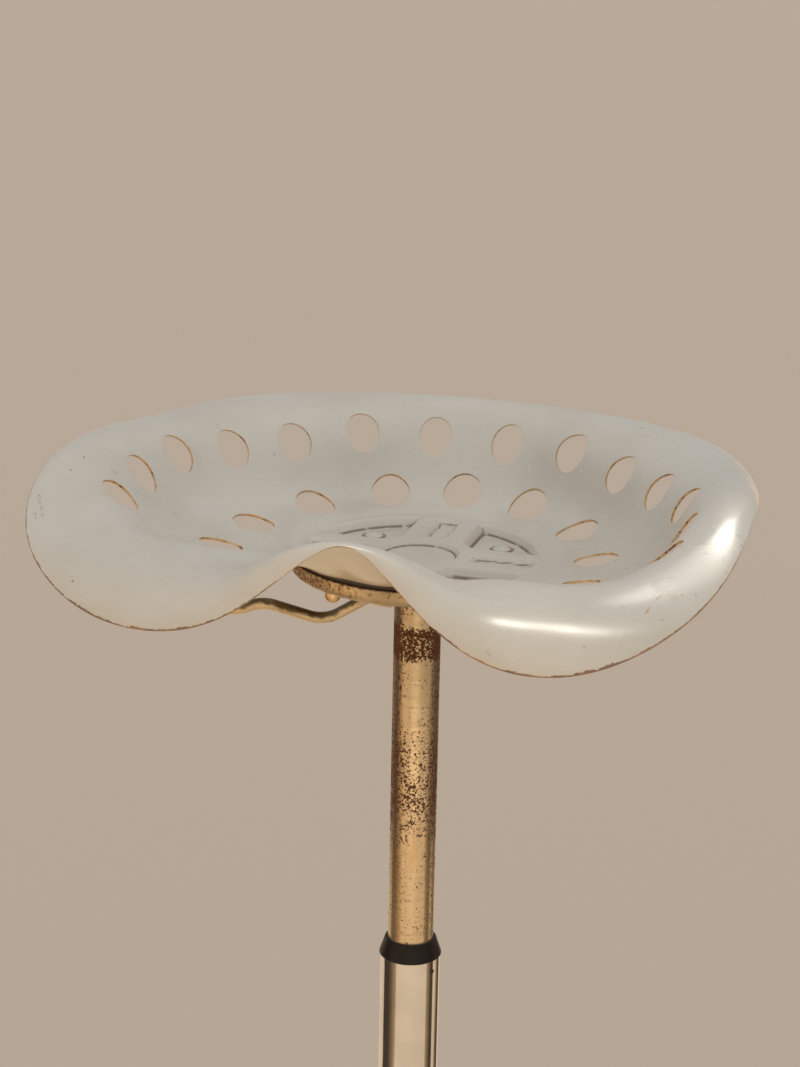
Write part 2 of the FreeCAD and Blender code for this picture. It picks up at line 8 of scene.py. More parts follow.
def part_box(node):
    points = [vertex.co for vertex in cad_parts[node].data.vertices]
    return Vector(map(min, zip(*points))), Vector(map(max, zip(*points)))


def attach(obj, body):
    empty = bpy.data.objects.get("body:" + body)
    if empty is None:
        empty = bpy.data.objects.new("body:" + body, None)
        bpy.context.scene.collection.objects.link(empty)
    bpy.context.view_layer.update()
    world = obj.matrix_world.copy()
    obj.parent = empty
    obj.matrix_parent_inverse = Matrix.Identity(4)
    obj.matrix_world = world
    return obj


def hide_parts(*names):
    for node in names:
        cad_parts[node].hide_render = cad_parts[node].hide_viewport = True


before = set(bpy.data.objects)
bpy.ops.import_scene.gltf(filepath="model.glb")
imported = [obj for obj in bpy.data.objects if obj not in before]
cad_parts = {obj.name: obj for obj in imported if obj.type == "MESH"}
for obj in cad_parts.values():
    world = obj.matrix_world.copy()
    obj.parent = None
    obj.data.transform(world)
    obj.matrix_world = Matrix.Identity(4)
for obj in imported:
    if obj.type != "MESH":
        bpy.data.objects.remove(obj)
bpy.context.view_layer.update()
mm = 0.001
print("frame loaded")


# small tools for meshes

def finishPiece(name, bm, body, nodes, finishes, smoothAngle=35):
    mesh = bpy.data.meshes.new(name)
    bm.to_mesh(mesh)
    bm.free()
    piece = bpy.data.objects.new(name, mesh)
    bpy.context.collection.objects.link(piece)
    for finish in finishes:
        mesh.materials.append(finish)
    mesh.polygons.foreach_set("use_smooth", [True] * len(mesh.polygons))
    mesh.set_sharp_from_angle(angle=math.radians(smoothAngle))
    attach(piece, body)
    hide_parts(*nodes)


def outward(bm):  # faces of a closed or bowl-shaped mesh towards the outside or up
    bmesh.ops.recalc_face_normals(bm, faces=bm.faces)
    if sum(face.normal.z * face.calc_area() for face in bm.faces) < -1e-7:
        bmesh.ops.reverse_faces(bm, faces=bm.faces)


def softStep(value):
    t = np.clip(value, 0, 1)
    return t * t * (3 - 2 * t)


def spunOutline(corners, steps):  # corners as (radius, height, bevel) in mm, spun about the upright axis
    bm = bmesh.new()
    verts = [bm.verts.new((radius * mm, 0, height * mm)) for radius, height, bevel in corners]
    edges = [bm.edges.new((verts[i - 1], verts[i])) for i in range(len(verts))]
    bmesh.ops.spin(bm, geom=verts + edges, cent=(0, 0, 0), axis=(0, 0, 1), angle=math.tau, steps=steps,
                   use_merge=True)
    for radius, height, bevel in corners:
        if bevel:
            ring = [edge for edge in bm.edges
                    if all(abs(math.hypot(*vert.co.xy) - radius * mm) < 1e-5
                           and abs(vert.co.z - height * mm) < 1e-5 for vert in edge.verts)]
            bmesh.ops.bevel(bm, geom=ring, offset=bevel * mm, offset_type="OFFSET", segments=6, profile=0.5,
                            affect="EDGES", material=-1)
    bmesh.ops.recalc_face_normals(bm, faces=bm.faces)
    return bm


# small tools for finishes

def newFinish(name):
    finish = bpy.data.materials.new(name)
    finish.use_nodes = True
    tree = finish.node_tree
    tree.nodes.clear()
    shader = tree.nodes.new("ShaderNodeBsdfPrincipled")
    output = tree.nodes.new("ShaderNodeOutputMaterial")
    tree.links.new(shader.outputs["BSDF"], output.inputs["Surface"])
    return finish, tree, shader


def feed(tree, socket, value):
    if isinstance(value, (int, float)):
        socket.default_value = value
    elif isinstance(value, tuple):
        socket.default_value = value + (1,) if len(value) < len(socket.default_value) else value
    else:
        tree.links.new(value, socket)


def objectPlace(tree):
    return tree.nodes.new("ShaderNodeTexCoord").outputs["Object"]


def moved(tree, place, at=(0, 0, 0), turn=(0, 0, 0), size=(1, 1, 1)):
    mapping = tree.nodes.new("ShaderNodeMapping")
    mapping.vector_type = "TEXTURE"
    feed(tree, mapping.inputs["Vector"], place)
    mapping.inputs["Location"].default_value = at
    mapping.inputs["Rotation"].default_value = turn
    mapping.inputs["Scale"].default_value = size
    return mapping.outputs["Vector"]


def lengthOf(tree, vector):
    node = tree.nodes.new("ShaderNodeVectorMath")
    node.operation = "LENGTH"
    feed(tree, node.inputs[0], vector)
    return node.outputs["Value"]


def distanceFromAxis(tree, x, y):
    level = tree.nodes.new("ShaderNodeCombineXYZ")
    feed(tree, level.inputs["X"], x)
    feed(tree, level.inputs["Y"], y)
    return lengthOf(tree, level.outputs["Vector"])


def splitUp(tree, vector):
    node = tree.nodes.new("ShaderNodeSeparateXYZ")
    feed(tree, node.inputs[0], vector)
    return node.outputs


def noiseAt(tree, place, scale, detail=4, roughness=0.55, stretch=(1, 1, 1)):
    noise = tree.nodes.new("ShaderNodeTexNoise")
    noise.inputs["Scale"].default_value = scale
    noise.inputs["Detail"].default_value = detail
    noise.inputs["Roughness"].default_value = roughness
    feed(tree, noise.inputs["Vector"], moved(tree, place, size=stretch) if stretch != (1, 1, 1) else place)
    return noise.outputs["Fac"]


def between(tree, value, low, high, first=0.0, last=1.0):  # first up to low, last from high
    node = tree.nodes.new("ShaderNodeMapRange")
    node.interpolation_type = "SMOOTHSTEP"
    if low > high:
        low, high, first, last = high, low, last, first
    for name, number in (("From Min", low), ("From Max", high), ("To Min", first), ("To Max", last)):
        feed(tree, node.inputs[name], number)
    feed(tree, node.inputs["Value"], value)
    return node.outputs["Result"]


def reckon(tree, kind, first, second=0.0):
    node = tree.nodes.new("ShaderNodeMath")
    node.operation = kind
    feed(tree, node.inputs[0], first)
    feed(tree, node.inputs[1], second)
    return node.outputs["Value"]


def mixed(tree, amount, first, second):
    node = tree.nodes.new("ShaderNodeMix")
    node.data_type = "RGBA"
    for name, value in (("Factor", amount), ("A", first), ("B", second)):
        feed(tree, node.inputs[name], value)
    return node.outputs["Result"]


def scaled(tree, value, factor):
    return reckon(tree, "MULTIPLY", value, factor)


def summed(tree, *values):
    total = values[0]
    for value in values[1:]:
        total = reckon(tree, "ADD", total, value)
    return total


def facingUp(tree):
    return splitUp(tree, tree.nodes.new("ShaderNodeNewGeometry").outputs["Normal"])["Z"]


def bumpFrom(tree, shader, height, strength, depth):
    bump = tree.nodes.new("ShaderNodeBump")
    bump.inputs["Strength"].default_value = strength
    bump.inputs["Distance"].default_value = depth
    feed(tree, bump.inputs["Height"], height)
    tree.links.new(bump.outputs["Normal"], shader.inputs["Normal"])


print("tools ready")

# seat pan, sizes in mm above its flat middle

# angle from the front, reach and height of the crest, reach and height of the cut edge,
# level run at the foot and at the crest
seat = {
    "sections": [
        (0, 145, 49, 148, 48, 12, 16),
        (13, 150, 41, 160, 25.5, 6, 40),
        (26, 152, 24.5, 180, -2.5, 9, 60),
        (39, 165, 25, 213, -3, 9, 66),
        (54, 191, 33.5, 232, 25, 48, 28),
        (72, 204, 57, 215, 54.5, 99, 45),
        (95, 186, 58.5, 196, 51, 92, 56),
        (122, 179, 56, 189, 48, 70, 80),
        (150, 158, 56.5, 168, 48.5, 57, 68),
        (180, 142, 58, 152, 50, 34, 30),
    ],
    "wallStart": 76.5, "stepRise": 2.5, "stepFoot": 71.5, "stepRun": 14,
    "frontLift": 2.5, "frontStepFoot": 72, "frontFade": 25, "sheet": 1.5, "panelDepth": 6,
    "outerHoles": [(23, 113.5), (66.5, 99.5), (102.5, 74.5), (132, 44), (154, 8), (161.5, -31),
                   (159.5, -70)],
    "outerOval": (20.8, 26),
    "innerHoles": [(0, 95.5), (44, 87.5), (82.5, 54.5), (105, 6), (107, -46)],
    "innerOval": (24, 26),
    "around": 320, "wallRows": 42, "rimRows": 12, "centreRows": 64, "edgeBevel": 0.25,
}
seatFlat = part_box("seat_pan")[0][2] / mm + seat["panelDepth"] + seat["sheet"]


def closedCurve(knots, values):  # a smooth closed curve through the values, one row for each knot
    count = len(knots)
    steps = np.diff(np.append(knots, knots[0] + 360))
    rises = (np.roll(values, -1, axis=0) - values) / steps[:, None]
    rows = np.zeros((count, count))
    for i in range(count):
        rows[i, i - 1] += steps[i - 1]
        rows[i, i] += 2 * (steps[i - 1] + steps[i])
        rows[i, (i + 1) % count] += steps[i]
    bends = np.linalg.solve(rows, 6 * (rises - np.roll(rises, 1, axis=0)))

    def at(angles):
        angles = np.asarray(angles, float) % 360
        i = np.searchsorted(knots, angles, side="right") - 1
        j = (i + 1) % count
        run = steps[i][..., None]
        done = (angles - knots[i])[..., None]
        left = run - done
        curved = (left ** 3 * bends[i] + done ** 3 * bends[j]) / (6 * run)
        straight = (values[i] * left + values[j] * done) / run
        return curved + straight - run * (bends[i] * left + bends[j] * done) / 6

    return at


halfKnots = [row[0] for row in seat["sections"]]
halfRows = [row[1:] for row in seat["sections"]]
sectionAt = closedCurve(np.array(halfKnots + [360 - knot for knot in halfKnots[-2:0:-1]], float),
                        np.array(halfRows + halfRows[-2:0:-1], float))


def bezier(a, b, c, d, t):
    s = 1 - t
    return s ** 3 * a + 3 * s * s * t * b + 3 * s * t * t * c + t ** 3 * d


def towardsDish(angles):  # 1 where the foot of the wall stands over the dish's front, 0 elsewhere
    turned = (np.asarray(angles, float) + 180) % 360 - 180
    return softStep((turned + 88) / 26) * softStep((33 - turned) / 28)


def seatSurface(angles, across):  # across is 0 to 1 up the wall, 1 to 2 over the rim
    angles = np.asarray(angles, float)
    across = np.asarray(across, float)
    section = np.moveaxis(sectionAt(angles), -1, 0)
    crestReach, crestHeight, edgeReach, edgeHeight, footRun, crestRun = section
    up = np.minimum(across, 1)
    reach = bezier(seat["wallStart"], seat["wallStart"] + footRun, crestReach - crestRun, crestReach, up)
    height = bezier(seat["stepRise"], seat["stepRise"], crestHeight, crestHeight, up)
    over = np.maximum(across - 1, 0)
    width = edgeReach - crestReach
    drop = crestHeight - edgeHeight
    rimReach = bezier(crestReach, crestReach + 0.5 * width, edgeReach - 0.1 * width, edgeReach, over)
    rimHeight = bezier(crestHeight, crestHeight, edgeHeight + 0.45 * drop, edgeHeight, over)
    reach = np.where(across > 1, rimReach, reach)
    height = np.where(across > 1, rimHeight, height)
    front = towardsDish(angles)
    step = softStep((reach - seat["stepFoot"]) / seat["stepRun"]) - 1
    lift = 1 - softStep((reach - seat["wallStart"]) / seat["frontFade"])
    height = height + (1 - front) * seat["stepRise"] * step
    height = height + front * seat["frontLift"] * lift
    turn = np.radians(angles)
    return np.stack((reach * np.sin(turn), -reach * np.cos(turn), seatFlat + height), axis=-1) * mm


def seatPoint(angle, across):
    return Vector(seatSurface(angle, across).tolist())


def seatAxes(angle, across):  # up the wall, along it and out of it
    up = (seatPoint(angle, min(across + 0.01, 2)) - seatPoint(angle, max(across - 0.01, 0))).normalized()
    along = (seatPoint(angle + 0.5, across) - seatPoint(angle - 0.5, across)).normalized()
    normal = along.cross(up).normalized()
    return up, normal.cross(up), normal


def wrapGrid(around, rows, pointsAt):  # a grid whose X goes round the axis and whose Y goes out
    bm = bmesh.new()
    bm.loops.layers.uv.new("UVMap")
    bmesh.ops.create_grid(bm, x_segments=around, y_segments=rows, size=1, calc_uvs=True)
    places = np.array([vert.co[:2] for vert in bm.verts]) / 2 + 0.5
    points = pointsAt(np.rint(places[:, 0] * around) / around, places[:, 1])
    for vert, point in zip(bm.verts, points):
        vert.co = point
    bmesh.ops.remove_doubles(bm, verts=bm.verts, dist=1e-6)
    outward(bm)
    return bm


def acrossAtReach(angle, reach):  # how far up the wall the surface has this reach
    low, high = 0.0, 1.0
    for step in range(24):
        middle = (low + high) / 2
        if seatPoint(angle, middle).xy.length < reach:
            low = middle
        else:
            high = middle
    return low


# finishes of the seat

# from and to as angle and across, width in mm, and what is seen there
paintMarks = [
    ((295.5, 1.74), (304, 1.58), 2.6, "rub"),
    ((299, 1.78), (303, 1.70), 1.6, "rub"),
    ((287.6, 0.94), (288.8, 0.92), 0.7, "scuff"),
    ((291.8, 1.03), (292.8, 0.97), 0.6, "scuff"),
    ((288.4, 0.78), (288, 0.68), 0.5, "scuff"),
    ((250.3, 0.86), (252, 0.74), 0.7, "scuff"),
    ((241.5, 0.56), (240.6, 0.52), 0.5, "scuff"),
    ((283.6, 0.38), (282, 0.30), 0.5, "scuff"),
    ((256.5, 0.26), (247.5, 0.32), 0.4, "faint"),
    ((262.4, 0.485), (262.6, 0.475), 0.7, "faint"),
    ((315, 1.75), (315.4, 1.76), 0.8, "scuff"),
    ((327, 1.56), (337.5, 1.50), 1.2, "rub"),
    ((238.3, 0.96), (238.7, 0.95), 0.6, "scuff"),
    ((138, 0.965), (138.6, 0.95), 0.9, "scuff"),
    ((228, 0.74), (226.5, 0.60), 0.4, "faint"),
    ((136.5, 0.42), (135, 0.10), 0.4, "faint"),
    ((139.5, 0.585), (139.7, 0.575), 0.6, "scuff"),
    ((66, 1.14), (65.2, 1.24), 1.9, "rub"),
    ((64.5, 1.50), (63.6, 1.60), 2.2, "rub"),
    ((69, 1.74), (67.6, 1.82), 1.6, "rub"),
    ((57.2, 1.60), (56.6, 1.66), 1.4, "rub"),
    ((28.5, 1.88), (27.2, 1.80), 0.6, "faint"),
    ((40.5, 1.67), (41, 1.69), 0.9, "faint"),
    ((49.3, 1.52), (51.6, 1.40), 0.9, "rust"),
    ((52, 1.38), (54.4, 1.30), 0.8, "rust"),
    ((55.4, 1.48), (55.8, 1.49), 1.0, "rust"),
    ((50.8, 1.66), (51.2, 1.67), 0.9, "rust"),
    ((69.3, 1.84), (69.8, 1.87), 0.8, "rust"),
    ((62, 1.84), (62.6, 1.88), 0.8, "rust"),
    ((159, 0.48), (158.4, 0.44), 1.6, "bloom"),
    ((181.5, 0.58), (181.5, 0.54), 1.2, "bloom"),
    ((152, 0.58), (153, 0.56), 1.2, "bloom"),
]
# the near-black colour for the pan's underside near the dish is painted shade
enamel = {
    "clean": (0.610, 0.575, 0.515), "dull": (0.560, 0.515, 0.440), "grime": (0.19, 0.14, 0.095),
    "rust": (0.50, 0.25, 0.07), "scuff": (0.15, 0.12, 0.09), "bloom": (0.70, 0.67, 0.60),
    "brown": (0.17, 0.08, 0.03), "bare": (0.31, 0.155, 0.05), "paintedShade": (0.030, 0.018, 0.011),
    "roughness": (0.25, 0.36), "wornRoughness": 0.4, "gloss": 1.8, "coat": 0.6, "coatRoughness": 0.25,
    "boltHead": 6.3, "ringStart": (-1.2, -0.4), "ringEnd": (1.6, 0.7),
    "chipDepth": (0.0009, 0.0060), "chipSoftness": 0.0007, "paintedShadeReach": (0.083, 0.0785),
    "markRagged": 1.6, "markFade": (1.45, 1.15),
}
# how strongly each kind of mark covers the paint, and with which colour
markTints = (("bloom", 0.6, "bloom"), ("faint", 0.35, "scuff"), ("scuff", 0.8, "scuff"),
             ("rub", 0.6, "scuff"), ("rust", 0.85, "rust"))


def markMask(tree, place, start, end, width, grain):
    first, last = seatPoint(*start), seatPoint(*end)
    along = last - first
    turn = along.to_track_quat("X", "Z").to_euler()
    size = (along.length / 2 + width * mm, width * mm, width * mm * 2)
    spread = lengthOf(tree, moved(tree, place, (first + last) / 2, turn, size))
    return between(tree, summed(tree, spread, scaled(tree, grain, enamel["markRagged"])), *enamel["markFade"])


def makeEnamel():
    finish, tree, shader = newFinish("seatEnamel")
    place = objectPlace(tree)
    grain = noiseAt(tree, place, 900, 5, 0.7)
    cloud = between(tree, noiseAt(tree, place, 11, 4), 0.38, 0.66)
    colour = mixed(tree, cloud, enamel["clean"], enamel["dull"])
    flecks = between(tree, noiseAt(tree, place, 1300, 3, 0.6), 0.70, 0.76, 0, 0.4)
    colour = mixed(tree, flecks, colour, enamel["grime"])
    masks = {kind: 0.0 for kind, most, tint in markTints}
    for start, end, width, kind in paintMarks:
        masks[kind] = reckon(tree, "MAXIMUM", masks[kind], markMask(tree, place, start, end, width, grain))
    threads = between(tree, noiseAt(tree, place, 700, 6, 0.7, (1, 3, 1)), 0.50, 0.58)
    masks["rub"] = scaled(tree, masks["rub"], threads)
    for kind, most, tint in markTints:
        colour = mixed(tree, scaled(tree, masks[kind], most), colour, enamel[tint])
    dirt = tree.nodes.new("ShaderNodeAttribute")
    dirt.attribute_name = "dirt"
    patchy = between(tree, noiseAt(tree, place, 120, 6, 0.7), 0.31, 0.50)
    settled = scaled(tree, between(tree, dirt.outputs["Fac"], 0.25, 0.9), patchy)
    colour = mixed(tree, settled, colour, enamel["grime"])
    sides = splitUp(tree, place)
    fromBolt = [reckon(tree, "SUBTRACT", reckon(tree, "ABSOLUTE", sides[axis]), boltSpots[axis] * mm)
                for axis in ("X", "Y")]
    boltSpread = distanceFromAxis(tree, *fromBolt)
    ringStart, ringEnd = [[(enamel["boltHead"] + step) * mm for step in enamel[name]]
                          for name in ("ringStart", "ringEnd")]
    ring = scaled(tree, between(tree, boltSpread, *ringStart), between(tree, boltSpread, *ringEnd))
    colour = mixed(tree, scaled(tree, ring, between(tree, grain, 0.3, 0.5, 0.6, 1)), colour, enamel["brown"])
    outwards = splitUp(tree, tree.nodes.new("ShaderNodeUVMap").outputs["UV"])["Y"]
    ragged = between(tree, noiseAt(tree, place, 150, 6, 0.75), 0.30, 0.75, *enamel["chipDepth"])
    chipped = between(tree, summed(tree, outwards, ragged), 1.0, 1.0 + enamel["chipSoftness"])
    shades = between(tree, noiseAt(tree, place, 60, 4), 0.36, 0.54)
    colour = mixed(tree, chipped, colour, mixed(tree, shades, enamel["bare"], enamel["brown"]))
    # painted shade: the downward face of the pan near the dish goes near-black, standing in for the shadow
    # between pan and dish
    inward = between(tree, distanceFromAxis(tree, sides["X"], sides["Y"]), *enamel["paintedShadeReach"])
    paintedShade = scaled(tree, inward, between(tree, facingUp(tree), -0.1, -0.4))
    feed(tree, shader.inputs["Base Color"], mixed(tree, paintedShade, colour, enamel["paintedShade"]))
    # roughness, coat and bumps follow scuffs, rust, settled dirt and the painted shade
    wornAndPaintedShade = reckon(tree, "MAXIMUM", masks["scuff"], masks["rust"])
    wornAndPaintedShade = reckon(tree, "MAXIMUM", reckon(tree, "MAXIMUM", wornAndPaintedShade, settled), paintedShade)
    sheen = between(tree, noiseAt(tree, place, 34, 5), 0.3, 0.75, *enamel["roughness"])
    feed(tree, shader.inputs["Roughness"], summed(tree, sheen, scaled(tree, wornAndPaintedShade, enamel["wornRoughness"])))
    shader.inputs["IOR"].default_value = enamel["gloss"]
    feed(tree, shader.inputs["Coat Weight"], between(tree, wornAndPaintedShade, 0, 1, enamel["coat"], 0))
    shader.inputs["Coat Roughness"].default_value = enamel["coatRoughness"]
    relief = reckon(tree, "SUBTRACT", noiseAt(tree, place, 480, 3), scaled(tree, wornAndPaintedShade, 1.2))
    bumpFrom(tree, shader, relief, 0.10, 0.0003)
    return finish


wornEdge = {"ochre": (0.60, 0.37, 0.15), "umber": (0.16, 0.07, 0.03), "paint": (0.62, 0.55, 0.44)}


def makeWornEdge(name, bare):
    finish, tree, shader = newFinish(name)
    place = objectPlace(tree)
    patches = between(tree, noiseAt(tree, place, 70, 5, 0.7), 0.42, 0.58)
    spots = between(tree, noiseAt(tree, place, 190, 6, 0.7), 0.50, 0.62)
    rust = mixed(tree, spots, wornEdge["ochre"], wornEdge["umber"])
    left = mixed(tree, reckon(tree, "MULTIPLY", patches, bare), rust, wornEdge["paint"])
    feed(tree, shader.inputs["Base Color"], left)
    shader.inputs["Roughness"].default_value = 0.7
    bumpFrom(tree, shader, spots, 0.3, 0.0003)
    return finish


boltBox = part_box("seat_bolts")
boltSpots = {"X": boltBox[1][0] / mm - enamel["boltHead"], "Y": boltBox[1][1] / mm - enamel["boltHead"]}
seatEnamel = makeEnamel()
wornCutEdge = makeWornEdge("wornCutEdge", 0.2)
wornHoleEdge = makeWornEdge("wornHoleEdge", 0.7)
print("seat finishes made")


# pressed middle of the seat, its panels and slots as soft steps

centre = {
    "ribOuter": 18.5, "ribInner": 7.5, "hubRing": 32, "panelReach": 71.5, "slotReach": 69.5, "slotDepth": 3,
    "recessRadius": 24, "recessDepth": 3, "panelSlope": 4.2, "slotSlope": 3.0, "recessSlope": 3.0,
    "dirtReach": 1.0, "dirtFull": 0.34,
}


def softLeast(*values):
    reach = 1.3
    return -reach * np.log(sum(np.exp(-value / reach) for value in values))


def centreHeight(x, y):
    ax, ay = np.abs(x), np.abs(y)
    radius = np.hypot(x, y)
    inPanel = softLeast(ax - centre["ribOuter"], ay - centre["ribOuter"], radius - centre["hubRing"],
                        centre["panelReach"] - radius)
    inSlot = softLeast(centre["ribInner"] - np.minimum(ax, ay), np.maximum(ax, ay) - centre["hubRing"],
                       centre["slotReach"] - np.maximum(ax, ay))
    front = towardsDish(np.degrees(np.arctan2(x, -y)))
    rise = (1 - front) * seat["stepRise"] * softStep((radius - seat["stepFoot"]) / seat["stepRun"])
    frontRun = seat["wallStart"] - seat["frontStepFoot"]
    frontRise = seat["stepRise"] + seat["frontLift"]
    rise = rise + front * frontRise * softStep((radius - seat["frontStepFoot"]) / frontRun)
    return (rise - seat["panelDepth"] * softStep(inPanel / centre["panelSlope"])
            - centre["slotDepth"] * softStep(inSlot / centre["slotSlope"])
            - centre["recessDepth"] * softStep((centre["recessRadius"] - radius) / centre["recessSlope"]))


def settledDirt(x, y):  # dirt lies where the surface is lower than round about
    turns = np.linspace(0, math.tau, 8, endpoint=False)
    reach = centre["dirtReach"]
    around = sum(centreHeight(x + reach * math.cos(turn), y + reach * math.sin(turn)) for turn in turns)
    return softStep((around / len(turns) - centreHeight(x, y)) / centre["dirtFull"])


# the whole pan as one sheet

def seatSheet(us, vs):  # from the middle out to the cut edge
    places = vs * (seat["centreRows"] + seat["wallRows"] + seat["rimRows"])
    reach = np.minimum(places / seat["centreRows"], 1) * seat["wallStart"]
    x = reach * np.sin(math.tau * us)
    y = -reach * np.cos(math.tau * us)
    middle = np.stack((x, y, seatFlat + centreHeight(x, y)), axis=-1) * mm
    out = places - seat["centreRows"]
    across = np.where(out <= seat["wallRows"], np.maximum(out, 0) / seat["wallRows"],
                      1 + (out - seat["wallRows"]) / seat["rimRows"])
    return np.where(out[:, None] > 0, seatSurface(360 * us, across), middle)


def ovalCutter(bm, x, y, width, length):
    angle = math.degrees(math.atan2(x, -y))
    across = acrossAtReach(angle, math.hypot(x, y) * mm)
    axes = Matrix(seatAxes(angle, across)).transposed().to_4x4()
    oval = Matrix.Diagonal((length / 2 * mm, width / 2 * mm, 1, 1))
    bmesh.ops.create_cone(bm, cap_ends=True, segments=56, radius1=1, radius2=1, depth=0.02,
                          matrix=Matrix.Translation(seatPoint(angle, across)) @ axes @ oval)


def makeSeatPan():
    bm = wrapGrid(seat["around"], seat["centreRows"] + seat["wallRows"] + seat["rimRows"], seatSheet)
    mesh = bpy.data.meshes.new("panDraft")
    bm.to_mesh(mesh)
    bm.free()
    draft = bpy.data.objects.new("panDraft", mesh)
    bpy.context.collection.objects.link(draft)
    for finish in (seatEnamel, wornCutEdge, wornHoleEdge):
        mesh.materials.append(finish)
    wall = draft.modifiers.new("sheet", "SOLIDIFY")
    wall.thickness = seat["sheet"] * mm
    wall.offset = -1
    wall.material_offset_rim = 1
    cutters = bmesh.new()
    for holes, oval in (("outerHoles", "outerOval"), ("innerHoles", "innerOval")):
        for x, y in seat[holes]:
            for side in ((1, -1) if x else (1,)):
                ovalCutter(cutters, side * x, y, *seat[oval])
    cutterMesh = bpy.data.meshes.new("ventCutters")
    cutters.to_mesh(cutterMesh)
    cutters.free()
    cutterMesh.materials.append(wornHoleEdge)
    cutter = bpy.data.objects.new("ventCutters", cutterMesh)
    bpy.context.collection.objects.link(cutter)
    vents = draft.modifiers.new("vents", "BOOLEAN")
    vents.object = cutter
    vents.operation = "DIFFERENCE"
    vents.solver = "EXACT"
    vents.material_mode = "TRANSFER"
    graph = bpy.context.evaluated_depsgraph_get()
    cut = bpy.data.meshes.new_from_object(draft.evaluated_get(graph), depsgraph=graph)
    bm = bmesh.new()
    bm.from_mesh(cut)
    bpy.data.objects.remove(cutter)
    bpy.data.objects.remove(draft)
    rims = [edge for edge in bm.edges if len(edge.link_faces) == 2
            and edge.link_faces[0].material_index != edge.link_faces[1].material_index]
    bmesh.ops.bevel(bm, geom=rims, offset=seat["edgeBevel"] * mm, offset_type="OFFSET", segments=2, profile=0.5,
                    affect="EDGES", material=-1, clamp_overlap=True)
    dirt = bm.verts.layers.float.new("dirt")
    places = np.array([vert.co[:2] for vert in bm.verts]) / mm
    settled = settledDirt(places[:, 0], places[:, 1]) * (np.hypot(*places.T) < seat["wallStart"])
    for vert, amount in zip(bm.verts, settled):
        vert[dirt] = amount
    finishPiece("seatPan", bm, "seat", ["seat_pan"], [seatEnamel, wornCutEdge, wornHoleEdge])


makeSeatPan()
print("seat made")

# dish under the seat

dish = {"radius": 76, "sheet": 2, "corner": 4.2, "bore": 13.9, "rim": 0.8, "lift": 0.9, "steps": 180,
        "nickel": (0.56, 0.45, 0.30), "shade": (0.33, 0.25, 0.15), "rust": (0.19, 0.075, 0.025)}


def makeDishFinish():
    finish, tree, shader = newFinish("rustyNickel")
    place = objectPlace(tree)
    sides = splitUp(tree, place)
    cloud = between(tree, noiseAt(tree, place, 26, 5), 0.35, 0.7)
    colour = mixed(tree, cloud, dish["nickel"], dish["shade"])
    density = between(tree, sides["X"], 0.03, -0.076, 0.02, 0.13)
    rimward = between(tree, sides["Z"], 0.7465, 0.7505, 0, 0.03)
    speckle = summed(tree, noiseAt(tree, place, 430, 7, 0.76), summed(tree, density, rimward))
    rust = between(tree, speckle, 0.60, 0.66)
    feed(tree, shader.inputs["Base Color"], mixed(tree, rust, colour, dish["rust"]))
    feed(tree, shader.inputs["Metallic"], between(tree, rust, 0, 1, 0.75, 0.0))
    feed(tree, shader.inputs["Roughness"], between(tree, rust, 0, 1, 0.38, 0.85))
    bumpFrom(tree, shader, speckle, 0.35, 0.0004)
    return finish


def makeDish():
    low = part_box("mount_dish")[0][2] / mm
    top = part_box("mount_dish")[1][2] / mm - 0.3
    radius, sheet = dish["radius"], dish["sheet"]
    inner = radius - sheet
    bm = spunOutline([(dish["bore"], low, 0), (radius, low, dish["corner"]), (radius, top, dish["rim"]),
                      (inner, top, dish["rim"]), (inner, low + sheet, dish["corner"] - sheet),
                      (dish["bore"], low + sheet, 0)], dish["steps"])
    foot = (low + sheet + 1) * mm
    for vert in bm.verts:  # the rim follows the pan's foot
        if vert.co.z > foot:
            angle = math.degrees(math.atan2(vert.co.x, -vert.co.y))
            share = (vert.co.z - foot) / (top * mm - foot)
            vert.co.z += dish["lift"] * mm * float(towardsDish(angle)) * share
    finishPiece("dishUnderSeat", bm, "seat", ["mount_dish"], [makeDishFinish()])


makeDish()
print("dish made")

# upper tube

post = {
    "chrome": (0.72, 0.57, 0.38), "sideBrown": (0.085, 0.040, 0.017), "rust": (0.088, 0.027, 0.007),
    "stain": (0.46, 0.25, 0.07), "cream": (0.48, 0.385, 0.25), "waver": 0.012,
    "bandFoot": (0.684, 0.689), "bandTop": (0.710, 0.705), "bandRust": 0.17,
    "spotFoot": (0.562, 0.590), "spotTop": (0.655, 0.622), "spotRust": 0.10,
    "aboveBand": (0.706, 0.722, 0, 0.04), "clusterRust": 0.25, "sideBrownRust": 0.05, "rustLimits": (0.60, 0.64),
    "frontSpot": (0.0045, -0.0134, 0.62), "frontSize": (0.019, 0.019, 1.2),
    "sideBrownStart": (0.38, 0.66), "sideBrownHeights": (0.53, 0.61, 0.3, 1), "creamHeights": (0.60, 0.70),
}


